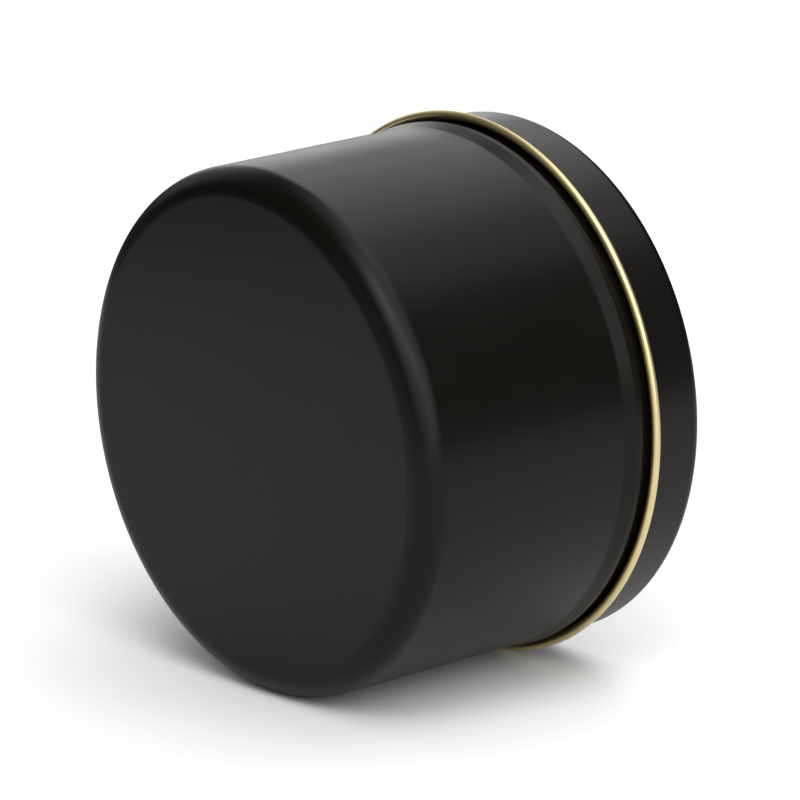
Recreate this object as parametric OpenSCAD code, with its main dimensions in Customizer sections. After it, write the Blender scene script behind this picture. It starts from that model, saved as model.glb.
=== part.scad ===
// Candle tin: a drawn one-piece tin body and a drawn one-piece slip lid.
// The tin stands on its base. Z runs up its axis and the origin is the centre of the base.

/* [Body] */
// Outside diameter of the straight wall
body_d = 80; // [40:0.5:160]
// Height of the closed tin, from the base to the top of the lid
closed_h = 53.6; // [30:0.1:150]
// Thickness of the tinplate, in the body and in the lid
sheet_t = 0.25; // [0.2:0.01:0.35]
// Outside radius of the corner between the base and the wall
base_corner_r = 4.2; // [2:0.1:10]

/* [Stop bead] */
// How far the bead stands out from the wall
bead_out = 0.45; // [0.3:0.05:1.5]
// Height of the cone that leads from the wall out to the bead's crest
bead_cone_h = 2.3; // [1:0.1:5]
// Height of the straight crest above the cone, up to its rounded edge
bead_crest_h = 0.75; // [0.4:0.05:3]
// Radius of the rounded edge where the bead turns in to the neck
bead_edge_r = 0.4; // [0.3:0.05:0.6]
// Space between the bead and the underside of the lid's curl
bead_gap = 1.1; // [0.3:0.05:4]

/* [Neck and rim] */
// How far the neck is set in from the wall
neck_inset = 0.2; // [0.05:0.05:1.5]
// Air between the neck and the inside of the lid's skirt, on each side
neck_clearance = 0.2; // [0.1:0.05:0.5]
// Outside radius of the rolled rim, which turns in over the mouth
rim_r = 0.7; // [0.5:0.05:1.5]
// Air left between the rim and the inside of the lid where the lid seats on it
seat_clearance = 0.05; // [0:0.01:0.1]

/* [Lid] */
// Height of the lid, from the underside of its curl to its top
lid_h = 10.8; // [6:0.1:30]
// Outside radius of the corner between the lid's panel and its skirt
lid_corner_r = 1.9; // [0.6:0.1:4]
// Outside radius of the curl that the skirt's edge is rolled into
curl_r = 0.635; // [0.45:0.005:1.5]
// How far the skirt's edge is opened out before it is rolled
curl_step = 0.5; // [0.25:0.05:1.5]
// Height over which the skirt's edge opens out
curl_step_h = 1.5; // [0.8:0.1:4]

/* [Hidden] */
$fn = 180;

// The lid's skirt slides over the neck
body_r = body_d / 2;
neck_r = body_r - neck_inset;
skirt_in_r = neck_r + neck_clearance;
lid_r = skirt_in_r + sheet_t;

// Lid, from its top down
panel_z = closed_h - sheet_t;
lid_corner_z = closed_h - lid_corner_r;
lid_bottom_z = closed_h - lid_h;
curl_z = lid_bottom_z + curl_r;
curl_axis_r = skirt_in_r + curl_step + curl_r;

// The rim seats in the lid's rounded inside corner, or under its panel where that corner is tighter
// than the rim. Both distances are from the corner's centre to the centre of the rolled rim.
corner_in_r = lid_corner_r - sheet_t;
seat_reach = corner_in_r - seat_clearance - rim_r;
seat_out = max(0, corner_in_r - neck_clearance - rim_r);
rim_z = seat_reach > 0
    ? lid_corner_z + sqrt(max(0, seat_reach ^ 2 - seat_out ^ 2))
    : panel_z - seat_clearance - rim_r;

// Stop bead, from the underside of the curl down
crest_r = body_r + bead_out;
bead_top_z = lid_bottom_z - bead_gap;
crest_top_z = bead_top_z - bead_edge_r;
cone_top_z = crest_top_z - bead_crest_h;
cone_z = cone_top_z - bead_cone_h;
// The turn from the bead's edge into the neck takes up what is left of the step
throat_r = crest_r - bead_edge_r - neck_r;
throat_z = bead_top_z + throat_r;

// Directions of the ends of each bend, in degrees from the outward direction
outward = 0;
up = 90;
inward = 180;
down = 270;
// The rolled edges stop here, just short of the wall that they turn back to
rim_end = 310;
curl_end = 125;

// A bend in the section: the part of a ring of sheet that lies between two directions
module bend(axis_r, axis_z, outer_r, from, to) {
    reach = 2 * outer_r;
    step = (to - from) / 8;
    translate([axis_r, axis_z])
        intersection() {
            difference() {
                circle(r = outer_r);
                circle(r = outer_r - sheet_t);
            }
            polygon([[0, 0], for (a = [from : step : to + step / 2]) reach * [cos(a), sin(a)]]);
        }
}

// A straight run of sheet between two levels, given by the radius of its outer face at each
module run(z_low, r_low, z_high, r_high) {
    polygon([
        [r_low - sheet_t, z_low],
        [r_low, z_low],
        [r_high, z_high],
        [r_high - sheet_t, z_high],
    ]);
}

module tin_body() {
    color("#2b2a29")
    rotate_extrude() {
        // Base panel and the corner that it is drawn over
        square([body_r - base_corner_r, sheet_t]);
        bend(body_r - base_corner_r, base_corner_r, base_corner_r, down, 360);
        // Wall, cone and crest of the stop bead
        run(base_corner_r, body_r, cone_z, body_r);
        run(cone_z, body_r, cone_top_z, crest_r);
        run(cone_top_z, crest_r, crest_top_z, crest_r);
        // Edge of the bead and the turn up into the neck
        bend(crest_r - bead_edge_r, crest_top_z, bead_edge_r, outward, up);
        bend(neck_r + throat_r, throat_z, throat_r + sheet_t, inward, down);
        // Neck and the rolled rim
        run(throat_z, neck_r, rim_z, neck_r);
        bend(neck_r - rim_r, rim_z, rim_r, outward, rim_end);
    }
}

module lid() {
    color("#2b2a29")
    rotate_extrude() {
        // Panel and corner
        translate([0, panel_z])
            square([lid_r - lid_corner_r, sheet_t]);
        bend(lid_r - lid_corner_r, lid_corner_z, lid_corner_r, outward, up);
        // Skirt, its opened edge and the curl
        run(curl_z + curl_step_h, lid_r, lid_corner_z, lid_r);
        run(curl_z, lid_r + curl_step, curl_z + curl_step_h, lid_r);
        bend(curl_axis_r, curl_z, curl_r, inward, 360 + curl_end);
    }
}

tin_body();
lid();
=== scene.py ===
# %% [markdown]
# # A candle tin, built over its CAD frame
# A candle tin is two pressings of tinplate: a deep drawn cup with no side seam, and a shallow
# slip lid. The sheet is coated before it is pressed, black enamel on one side and gold lacquer
# on the other. The enamel ends up outside. The lid's edge is rolled outwards, so that the gold
# inside face comes round to the front as a thin bright ring.
#
# The CAD frame gives every size and place. It is loaded first and is never moved. Each pressing
# is then drawn again as a finer mesh that stands for its CAD node and rides on the same body.

import math

import bpy
from mathutils import Matrix, Vector


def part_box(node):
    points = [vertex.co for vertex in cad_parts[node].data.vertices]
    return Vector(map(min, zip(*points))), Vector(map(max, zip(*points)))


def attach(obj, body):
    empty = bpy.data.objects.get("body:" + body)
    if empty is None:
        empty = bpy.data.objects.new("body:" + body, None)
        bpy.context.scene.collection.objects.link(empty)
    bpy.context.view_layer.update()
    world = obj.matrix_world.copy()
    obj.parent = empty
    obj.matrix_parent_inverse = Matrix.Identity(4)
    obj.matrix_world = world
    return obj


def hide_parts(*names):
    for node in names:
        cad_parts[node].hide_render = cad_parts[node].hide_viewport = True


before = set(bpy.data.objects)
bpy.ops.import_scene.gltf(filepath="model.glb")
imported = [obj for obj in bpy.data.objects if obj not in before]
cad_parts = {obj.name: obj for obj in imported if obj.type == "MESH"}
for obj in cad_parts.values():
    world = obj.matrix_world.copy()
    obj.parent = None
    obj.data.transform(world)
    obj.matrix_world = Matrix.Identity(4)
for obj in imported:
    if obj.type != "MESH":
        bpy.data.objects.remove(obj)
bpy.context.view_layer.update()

# %% [markdown]
# ## Measure the frame
# The levels and radii that the two pressings share are read from the boxes of the CAD nodes. What
# a box can't give, such as the thickness of the sheet or the radius of a bend, is a named value
# here, in metres or as an angle, next to the sizes that it belongs with.

# %% Sizes of the two pressings
MM = 0.001
tin_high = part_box("tin_body")[1]
lid_low, lid_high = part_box("lid")

sheet = 0.25 * MM
base_corner = 4.2 * MM

bead_out = 0.45 * MM
bead_gap = 1.1 * MM
bead_edge = 0.4 * MM
crest_height = 0.75 * MM
crest_bend = 1.2 * MM
cone_height = 2.3 * MM
cone_foot_bend = 2.5 * MM
crest_radius = tin_high.x
wall_radius = crest_radius - bead_out
bead_top = lid_low.z - bead_gap
crest_foot = bead_top - (bead_edge + crest_height)
cone_foot = crest_foot - cone_height

neck_inset = 0.2 * MM
neck_clearance = 0.2 * MM
throat_bend = 0.25 * MM
neck_radius = wall_radius - neck_inset
skirt_radius = neck_radius + neck_clearance + sheet

# Both rolled edges stop just short of the wall that they turn back to.
rim_tube = 0.7 * MM
rim_end = math.radians(310)
rim_level = tin_high.z - rim_tube

lid_corner = 1.9 * MM
edge_opens_out = 0.5 * MM
edge_opens_over = 1.5 * MM
opening_bend = 1.5 * MM
curl_tube = 0.635 * MM
curl_end = math.radians(360 + 125)
curl_level = lid_low.z + curl_tube
curl_centre = lid_high.x - curl_tube

print(f"wall {wall_radius / MM:.2f} mm, curl {lid_high.x / MM:.2f} mm, height {lid_high.z / MM:.2f} mm")

# %% [markdown]
# ## Draw the section of a pressing
# A pressing is a sheet that was bent, so its section is one line with a bend at each corner. It
# could be a curve with a bevel, or a polyline under a Screw modifier. Here the line is worked out
# point by point, because then every point knows which way the sheet faces, and the other face of
# the sheet is one thickness away along that direction.
#
# A workshop drawing gives a corner and its bend radius. `bent_line` takes just that, and puts an
# arc in each corner. `STEADY` adds a point just before and after each arc, which keeps the bend's
# shading from running out over the flat panel beside it.

# %% Corners and bend radii to a smooth line
STEADY = 0.12 * MM
ARC_STEP = math.radians(4)


def arc(centre, radius, start, end):
    """Points along an arc from one angle to another, each with its direction of travel."""
    count = max(3, math.ceil(abs(end - start) / ARC_STEP))
    turn = 1 if end > start else -1
    points = []
    for i in range(count + 1):
        angle = start + (end - start) * i / count
        out = Vector((math.cos(angle), math.sin(angle)))
        points.append((centre + out * radius, Vector((-out.y, out.x)) * turn))
    return points


def straight(start, end):
    """A straight run, with a steadying point near each end."""
    way = end - start
    if way.length < 4 * STEADY:
        return []
    way_on = way.normalized()
    return [(start + way_on * STEADY, way_on), (end - way_on * STEADY, way_on)]


def bent_line(corners):
    """Points and directions along a line, from corners given as (radius, level, bend radius)."""
    line = [(Vector(corners[0][:2]), (Vector(corners[1][:2]) - Vector(corners[0][:2])).normalized())]
    for before, here, after in zip(corners, corners[1:], corners[2:]):
        corner = Vector(here[:2])
        into = (corner - Vector(before[:2])).normalized()
        out = (Vector(after[:2]) - corner).normalized()
        side = 1 if into.x * out.y - into.y * out.x > 0 else -1
        reach = here[2] * math.tan(into.angle(out) / 2)
        start = corner - into * reach
        centre = start + Vector((-into.y, into.x)) * here[2] * side
        from_angle = math.atan2(*(start - centre).yx)
        line += straight(line[-1][0], start)
        line += arc(centre, here[2], from_angle, from_angle + side * into.angle(out))
    end = Vector(corners[-1][:2])
    line += straight(line[-1][0], end)
    line.append((end, (end - Vector(corners[-2][:2])).normalized()))
    return line


# %% [markdown]
# ## Turn the section into a pressing
# The lathe joins the line and its other face, and turns them round the axis. The enamelled face,
# the lacquered face and the cut edge get their own material numbers, because the sheet was coated
# before it was pressed.

# %% The lathe
TURNS = 288
ON_AXIS = 0.0001 * MM
ENAMEL, LACQUER, CUT_EDGE = 0, 1, 2


def pressing(name, line, enamel_side):
    """A mesh of a bent sheet, turned round Z. The enamel faces left (1) or right (-1) of the line."""
    faces_out = [Vector((-d.y, d.x)) * enamel_side for p, d in line]
    enamel = [p for p, d in line]
    lacquer = [p - out * sheet for p, out in zip(enamel, faces_out)]
    ring = enamel + lacquer[::-1]
    last_enamel = len(enamel) - 1
    verts, rows = [], []
    for p in ring:
        if p.x < ON_AXIS:
            rows.append([len(verts)] * TURNS)
            verts.append((0, 0, p.y))
            continue
        rows.append(list(range(len(verts), len(verts) + TURNS)))
        verts += [
            (p.x * math.cos(math.tau * i / TURNS), p.x * math.sin(math.tau * i / TURNS), p.y)
            for i in range(TURNS)
        ]
    faces, numbers = [], []
    for k in range(len(rows) - 1):
        number = ENAMEL if k < last_enamel else CUT_EDGE if k == last_enamel else LACQUER
        for i in range(TURNS):
            j = (i + 1) % TURNS
            corners = [rows[k][i], rows[k][j], rows[k + 1][j], rows[k + 1][i]]
            corners = list(dict.fromkeys(corners))
            faces.append(corners if enamel_side < 0 else corners[::-1])
            numbers.append(number)
    mesh = bpy.data.meshes.new(name)
    mesh.from_pydata(verts, [], faces)
    mesh.polygons.foreach_set("material_index", numbers)
    mesh.polygons.foreach_set("use_smooth", [True] * len(faces))
    mesh.update()
    obj = bpy.data.objects.new(name, mesh)
    bpy.context.scene.collection.objects.link(obj)
    print(f"{name}: {len(faces)} faces, {len(line)} points along the section")
    return obj


# %% [markdown]
# ## The tin
# From the middle of the base the sheet runs out flat, turns up a soft corner and climbs the wall.
# Near the top it swells out over a short cone into the stop bead, drops in to the neck, and its
# edge is rolled inwards over the mouth, so that no raw edge is left to cut a finger.

# %% Draw and turn the tin
tin_line = bent_line(
    [
        (0, 0, 0),
        (wall_radius, 0, base_corner),
        (wall_radius, cone_foot, cone_foot_bend),
        (crest_radius, crest_foot, crest_bend),
        (crest_radius, bead_top, bead_edge),
        (neck_radius, bead_top, throat_bend),
        (neck_radius, rim_level, 0),
    ]
)
rim_centre = Vector((neck_radius - rim_tube, rim_level))
tin_line += arc(rim_centre, rim_tube, 0, rim_end)[1:]
tin_shell = pressing("tin_body_shell", tin_line, -1)

# %% [markdown]
# ## The lid
# The lid's panel turns down a tight corner into the skirt. The skirt's edge is opened out a
# little and then rolled outwards and up into the curl, which hides the raw edge beside the skirt.

# %% Draw and turn the lid
open_angle = math.atan(edge_opens_out / edge_opens_over)
curl_inside = curl_tube - sheet
curl_middle = Vector((curl_centre, curl_level))
curl_start = math.pi + open_angle
roll_in = curl_middle + curl_inside * Vector((math.cos(curl_start), math.sin(curl_start)))
open_level = roll_in.y + (roll_in.x - skirt_radius) / math.tan(open_angle)
lid_line = bent_line(
    [
        (0, lid_high.z, 0),
        (skirt_radius, lid_high.z, lid_corner),
        (skirt_radius, open_level, opening_bend),
        (roll_in.x, roll_in.y, 0),
    ]
)
lid_line += arc(curl_middle, curl_inside, curl_start, curl_end)[1:]
lid_shell = pressing("lid_shell", lid_line, 1)

# %% [markdown]
# ## Hand the meshes to the frame
# Each shell rides on the body of the CAD node that it replaces, and the CAD node is no longer shown.

# %% Ride and replace
for shell, body, node, slot in (
    (tin_shell, "tin", "tin_body", "black_enamel"),
    (lid_shell, "lid", "lid", "lid_enamel"),
):
    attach(shell, body)
    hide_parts(node)
    print(f"{shell.name} stands for {node} on body {body}, slot {slot}")

# %% [markdown]
# ## Two helpers for materials
# Colours are written as sRGB hex codes, as a paint chart gives them, and shaders want linear
# light, so one function converts them. A second one adds a node, sets its properties and fills
# its sockets with values or with links.

# %% Colour and node helpers


def colour(code):
    """Linear RGBA of an sRGB hex code."""
    parts = [int(code[i : i + 2], 16) / 255 for i in (1, 3, 5)]
    return [c / 12.92 if c <= 0.04045 else ((c + 0.055) / 1.055) ** 2.4 for c in parts] + [1.0]


def add(tree, kind, inputs=None, **settings):
    """Adds a node of that kind, with its settings, and its sockets set or linked."""
    node = tree.nodes.new(kind)
    for key, value in settings.items():
        setattr(node, key, value)
    for key, value in (inputs or {}).items():
        if isinstance(value, bpy.types.NodeSocket):
            tree.links.new(value, node.inputs[key])
        else:
            node.inputs[key].default_value = value
    return node


# %% [markdown]
# ## Black stoving enamel
# The outside is stoving enamel, rolled on to the flat sheet and baked, then pressed with it. A
# baked enamel flows out smooth but never flat: a faint orange peel stays, about a millimetre
# across, and the press polishes some places more than others. To the eye that is a deep, slightly
# warm black with a broad satin sheen that breaks up very faintly.
#
# A cured enamel bends light like most resins, so the IOR is 1.5. Its matting powder scatters most
# of the mirror light away, which the specular level stands for: it turns the reflection down, and
# the edges seen at a slant still shine. The lid is a little glossier than the tin.

# %% Stoving enamel
PEEL = 1.1 * MM
POLISHED_PATCH = 9 * MM
PEEL_HEIGHT = 0.004 * MM
TIN_SHEEN = 0.22
LID_SHEEN = 0.3


def material(name):
    """A new material and its emptied node tree."""
    mat = bpy.data.materials.new(name)
    mat.use_nodes = True
    mat.node_tree.nodes.clear()
    return mat, mat.node_tree


def stoving_enamel(name, sheen):
    """The black enamel, with its specular level: how much of the mirror light is left."""
    enamel, tree = material(name)
    place = add(tree, "ShaderNodeTexCoord").outputs["Object"]
    patches = add(
        tree,
        "ShaderNodeTexNoise",
        {"Vector": place, "Scale": 1 / POLISHED_PATCH, "Detail": 3.0, "Roughness": 0.55},
    ).outputs["Fac"]
    black = add(tree, "ShaderNodeValToRGB", {"Fac": patches})
    black.color_ramp.elements[0].color = colour("#0e0c09")
    black.color_ramp.elements[1].color = colour("#100d09")
    polish = add(
        tree,
        "ShaderNodeMapRange",
        {"Value": patches, "From Min": 0.3, "From Max": 0.7, "To Min": 0.3, "To Max": 0.34},
    ).outputs["Result"]
    peel = add(
        tree, "ShaderNodeTexNoise", {"Vector": place, "Scale": 1 / PEEL, "Detail": 2.0}
    ).outputs["Fac"]
    peel_bump = add(
        tree, "ShaderNodeBump", {"Height": peel, "Strength": 0.25, "Distance": PEEL_HEIGHT}
    ).outputs["Normal"]
    shader = add(
        tree,
        "ShaderNodeBsdfPrincipled",
        {
            "Base Color": black.outputs["Color"],
            "Roughness": polish,
            "IOR": 1.5,
            "Specular IOR Level": sheen,
            "Normal": peel_bump,
        },
    )
    add(tree, "ShaderNodeOutputMaterial", {"Surface": shader.outputs["BSDF"]})
    print(name, "sheen", sheen)
    return enamel


tin_enamel = stoving_enamel("black_stoving_enamel", TIN_SHEEN)
lid_enamel = stoving_enamel("black_stoving_enamel_lid", LID_SHEEN)

# %% [markdown]
# ## Gold lacquer
# The inside is tinplate under a clear gold lacquer. The metal does the reflecting and the lacquer
# tints it, so a metallic shader in a pale gold stands for both. To the eye it is a soft bright
# gold on the curl, which deepens to olive and brown where it mirrors itself inside the tin. The
# rolling mill leaves a fine grain in the plate, which the lacquer half fills.

# %% Gold lacquered tinplate
LACQUER_MOTTLE = 3 * MM
# Mill grain is really nearer 0.1 mm. It is drawn coarser, or it would never show.
MILL_GRAIN = 0.5 * MM
GRAIN_HEIGHT = 0.002 * MM

gold_lacquer, tree = material("gold_lacquered_tinplate")
place = add(tree, "ShaderNodeTexCoord").outputs["Object"]
mottle = add(
    tree, "ShaderNodeTexNoise", {"Vector": place, "Scale": 1 / LACQUER_MOTTLE, "Detail": 4.0}
).outputs["Fac"]
gold = add(tree, "ShaderNodeValToRGB", {"Fac": mottle})
gold.color_ramp.elements[0].color = colour("#f2dda0")
gold.color_ramp.elements[1].color = colour("#fae9b6")
gold_polish = add(
    tree, "ShaderNodeMapRange", {"Value": mottle, "To Min": 0.38, "To Max": 0.46}
).outputs["Result"]
grain = add(
    tree, "ShaderNodeTexNoise", {"Vector": place, "Scale": 1 / MILL_GRAIN, "Detail": 2.0}
).outputs["Fac"]
grain_bump = add(
    tree, "ShaderNodeBump", {"Height": grain, "Strength": 0.2, "Distance": GRAIN_HEIGHT}
).outputs["Normal"]
gold_shader = add(
    tree,
    "ShaderNodeBsdfPrincipled",
    {
        "Base Color": gold.outputs["Color"],
        "Metallic": 1.0,
        "Roughness": gold_polish,
        "Normal": grain_bump,
    },
)
add(tree, "ShaderNodeOutputMaterial", {"Surface": gold_shader.outputs["BSDF"]})

# %% [markdown]
# ## Cut edge
# Where the sheet was trimmed, the bare steel shows between the two coatings: to the eye a dull
# grey hairline. It is rolled out of sight on both pieces, and shows only right inside the rolls.

# %% Trimmed steel
# The shear marks are really nearer 0.1 mm apart. They are drawn coarser, like the grain.
SHEAR_MARK = 0.8 * MM

trimmed_steel, tree = material("trimmed_steel_edge")
place = add(tree, "ShaderNodeTexCoord").outputs["Object"]
burr = add(
    tree, "ShaderNodeTexNoise", {"Vector": place, "Scale": 1 / SHEAR_MARK, "Detail": 3.0}
).outputs["Fac"]
steel = add(tree, "ShaderNodeValToRGB", {"Fac": burr})
steel.color_ramp.elements[0].color = colour("#8f8c86")
steel.color_ramp.elements[1].color = colour("#b4b1aa")
steel_shader = add(
    tree,
    "ShaderNodeBsdfPrincipled",
    {"Base Color": steel.outputs["Color"], "Metallic": 1.0, "Roughness": 0.45},
)
add(tree, "ShaderNodeOutputMaterial", {"Surface": steel_shader.outputs["BSDF"]})

# %% [markdown]
# ## Coat the pressings
# The three materials go on in the order of the numbers that the lathe gave the faces: enamel,
# lacquer, cut edge.

# %% Coat both pressings
for shell, enamel in ((tin_shell, tin_enamel), (lid_shell, lid_enamel)):
    for mat in (enamel, gold_lacquer, trimmed_steel):
        shell.data.materials.append(mat)
    print(shell.name, [m.name for m in shell.data.materials])

# %% [markdown]
# ## Which way is up
# The tin is shown lying on its side, and the frame must not be moved, so the studio is turned
# round it instead. The tin touches the floor with the curl and with the lower edge of its wall.
# The curl stands out further, so the axis tilts up a little towards the lid. Up in the studio is
# therefore a slanted direction in the frame, and everything in the studio is placed from it.

# %% The studio's own directions
tilt = math.atan((lid_high.x - wall_radius) / (curl_level - base_corner))
across_ground = Vector((1, -1, 0)).normalized()
axis = Vector((0, 0, 1))
studio_up = across_ground * math.cos(tilt) + axis * math.sin(tilt)
along = (axis - studio_up * axis.dot(studio_up)).normalized()
print(f"the axis tilts {math.degrees(tilt):.2f} degrees")

# %% [markdown]
# ## Camera
# A long lens from a step away keeps the ellipses of the base and the lid nearly alike. The camera
# looks a little down at the tin, and the tin's axis points away from it to the right. It is placed
# from what it sees: how far the centre of the base lies to its right, above it and ahead of it.

# %% Camera at its viewing angle
LOOKS_DOWN = math.radians(13.06)
AXIS_TO_RIGHT = math.radians(49.85)
BASE_CENTRE_SEEN = Vector((-22.23, -5.52, 783.7)) * MM

ahead_level = Matrix.Rotation(AXIS_TO_RIGHT, 3, studio_up) @ along
ahead = ahead_level * math.cos(LOOKS_DOWN) - studio_up * math.sin(LOOKS_DOWN)
right = ahead.cross(studio_up).normalized()
top = right.cross(ahead)

camera_data = bpy.data.cameras.new("studio_camera")
camera_data.lens = 240
camera_data.sensor_width = 36
camera_data.clip_end = 20
camera = bpy.data.objects.new("studio_camera", camera_data)
eye = -(right * BASE_CENTRE_SEEN.x + top * BASE_CENTRE_SEEN.y + ahead * BASE_CENTRE_SEEN.z)
camera.matrix_world = Matrix.Translation(eye) @ Matrix((right, top, -ahead)).transposed().to_4x4()
bpy.context.scene.collection.objects.link(camera)
bpy.context.scene.camera = camera
print("camera at", [round(v, 3) for v in eye])

# %% [markdown]
# ## Floor
# A sheet of pale paper under the tin catches a soft shadow. It touches the curl and the lower edge
# of the wall. It ends nearer on the left, where the base looks, so that the far part of the base
# mirrors the dark room and its brightness falls off from the bottom to the top.

# %% Pale paper floor
PAPER_HALF = 450 * MM
PAPER_TO_RIGHT = 180 * MM


def paper(name, centre, up_way, side):
    """A large square facing up_way, with two of its edges square to side."""
    other = up_way.cross(side)
    spots = [(-1, -1), (1, -1), (1, 1), (-1, 1)]
    verts = [centre + (side * a + other * b) * PAPER_HALF for a, b in spots]
    mesh = bpy.data.meshes.new(name)
    mesh.from_pydata(verts, [], [(0, 1, 2, 3)])
    obj = bpy.data.objects.new(name, mesh)
    bpy.context.scene.collection.objects.link(obj)
    return obj


rest_drop = lid_high.x * math.cos(tilt) - curl_level * math.sin(tilt)
under_tin = right * PAPER_TO_RIGHT - studio_up * rest_drop
floor = paper("paper_floor", under_tin, studio_up, right)
print(f"paper {rest_drop / MM:.2f} mm under the centre of the base")

# %% [markdown]
# ## Paper under the standing tin
# A second sheet lies under the base, for the views in which the tin stands up. Only the eye sees
# it, so it adds nothing to the light of the lying tin. It stops where it meets the first sheet.

# %% Second sheet
BELOW_BASE = 0.02 * MM

to_floor = rest_drop / math.cos(tilt)
under_base = across_ground * (PAPER_HALF - to_floor) - axis * BELOW_BASE
ground = paper("paper_ground", under_base, axis, across_ground)
for kind in ("diffuse", "glossy", "transmission", "volume_scatter", "shadow"):
    setattr(ground, "visible_" + kind, False)
print("second sheet is seen by the camera:", ground.visible_camera)

# %% [markdown]
# ## Matt paper
# Background paper is matt and nearly white. A studio exposes for the black tin, which turns the
# paper whiter than white, so the eye gets a brighter sheet than the one that lights the tin. The
# back of each sheet is clear, so that it never hides the tin from below or behind.

# %% Matt paper, clear from the back
PAPER_WHITE = colour("#f3f3f3")
FLOOR_EXPOSURE = 1.45
GROUND_EXPOSURE = 2.6

for sheet_of_paper, exposure in ((floor, FLOOR_EXPOSURE), (ground, GROUND_EXPOSURE)):
    matt_paper, tree = material(sheet_of_paper.name + "_matt")
    exposed = [c * exposure for c in PAPER_WHITE[:3]] + [1.0]
    lighting = add(tree, "ShaderNodeBsdfDiffuse", {"Color": PAPER_WHITE})
    looked_at = add(tree, "ShaderNodeBsdfDiffuse", {"Color": exposed})
    by_eye = add(tree, "ShaderNodeLightPath").outputs["Is Camera Ray"]
    face = add(
        tree,
        "ShaderNodeMixShader",
        {0: by_eye, 1: lighting.outputs["BSDF"], 2: looked_at.outputs["BSDF"]},
    )
    clear = add(tree, "ShaderNodeBsdfTransparent")
    from_back = add(tree, "ShaderNodeNewGeometry").outputs["Backfacing"]
    one_sided = add(
        tree,
        "ShaderNodeMixShader",
        {0: from_back, 1: face.outputs["Shader"], 2: clear.outputs["BSDF"]},
    )
    add(tree, "ShaderNodeOutputMaterial", {"Surface": one_sided.outputs["Shader"]})
    sheet_of_paper.data.materials.append(matt_paper)
    print(matt_paper.name, "exposure", exposure)

# %% [markdown]
# ## Studio light
# Black satin shows little but what it mirrors, so the light is a whole room of soft sources: a big
# key box over the camera's shoulder with two lamps showing through its cloth, a backdrop behind
# the tin, boxes overhead, and dark gaps between them. Area lights could do it, but each would
# have to be sized, placed and turned. Here each source is a soft round patch on the world, given
# in degrees by its height above the floor and its bearing to the right of straight ahead.

# %% Softboxes on the world
SOFTBOXES = (
    # name, height, bearing, half width, soft edge, strength
    ("key_box", 36, 160, 42, 5, 1.18),
    ("key_core", 49, 186, 21, 6, 1.1),
    ("key_lamp_high", 50, 184, 7, 5, 2.4),
    ("key_lamp_low", 32, 159, 7, 5, 2.4),
    ("key_skirt", 14, 138, 21, 5, 0.65),
    ("backdrop", 11, -4, 10, 6, 1.65),
    ("backdrop_gap", 27, -19, 8, 5, 0.5),
    ("backdrop_left", 25, -40, 15, 10, 0.45),
    ("backdrop_top", 36, 8, 10, 5, 1.6),
    ("overhead_back", 53, 27, 10, 5, 1.65),
    ("overhead_right", 65, 79, 13, 12, 1.6),
    ("overhead", 85, 0, 20, 10, 0.8),
    ("left_fill", 0, -120, 17, 9, 0.35),
)
ROOM_DARK = 0.03
BACKDROP_WHITE = colour("#fefefe")


def towards(height, turn):
    """A direction in the studio, from degrees above the floor and degrees to the right."""
    rise = math.radians(height)
    swing = math.radians(turn)
    level = ahead_level * math.cos(swing) + right * math.sin(swing)
    return level * math.cos(rise) + studio_up * math.sin(rise)


world = bpy.data.worlds.new("soft_studio")
bpy.context.scene.world = world
world.use_nodes = True
tree = world.node_tree
tree.nodes.clear()
way = add(tree, "ShaderNodeTexCoord").outputs["Generated"]
total = ROOM_DARK
for name, height, turn, half, soft, strength in SOFTBOXES:
    closeness = add(
        tree,
        "ShaderNodeVectorMath",
        {0: way, 1: towards(height, turn)},
        operation="DOT_PRODUCT",
    ).outputs["Value"]
    glow = add(
        tree,
        "ShaderNodeMapRange",
        {
            "Value": closeness,
            "From Min": math.cos(math.radians(half + soft)),
            "From Max": math.cos(math.radians(half - soft)),
            "To Min": 0.0,
            "To Max": strength,
        },
        interpolation_type="SMOOTHSTEP",
        label=name,
    ).outputs["Result"]
    total = add(tree, "ShaderNodeMath", {0: total, 1: glow}, operation="ADD").outputs[0]
room = add(tree, "ShaderNodeBackground", {"Color": total, "Strength": 1.0})
plain = add(tree, "ShaderNodeBackground", {"Color": BACKDROP_WHITE, "Strength": 1.0})
by_eye = add(tree, "ShaderNodeLightPath").outputs["Is Camera Ray"]
both = add(
    tree,
    "ShaderNodeMixShader",
    {0: by_eye, 1: room.outputs["Background"], 2: plain.outputs["Background"]},
)
add(tree, "ShaderNodeOutputWorld", {"Surface": both.outputs["Shader"]})
print("softboxes:", [box[0] for box in SOFTBOXES])

# %% [markdown]
# ## Tone
# Standard tone keeps the paper white and the enamel black, as a catalogue picture does. The usual
# film-like tone would turn both towards grey.

# %% Plain tone
bpy.context.scene.view_settings.view_transform = "Standard"
print("tone:", bpy.context.scene.view_settings.view_transform)
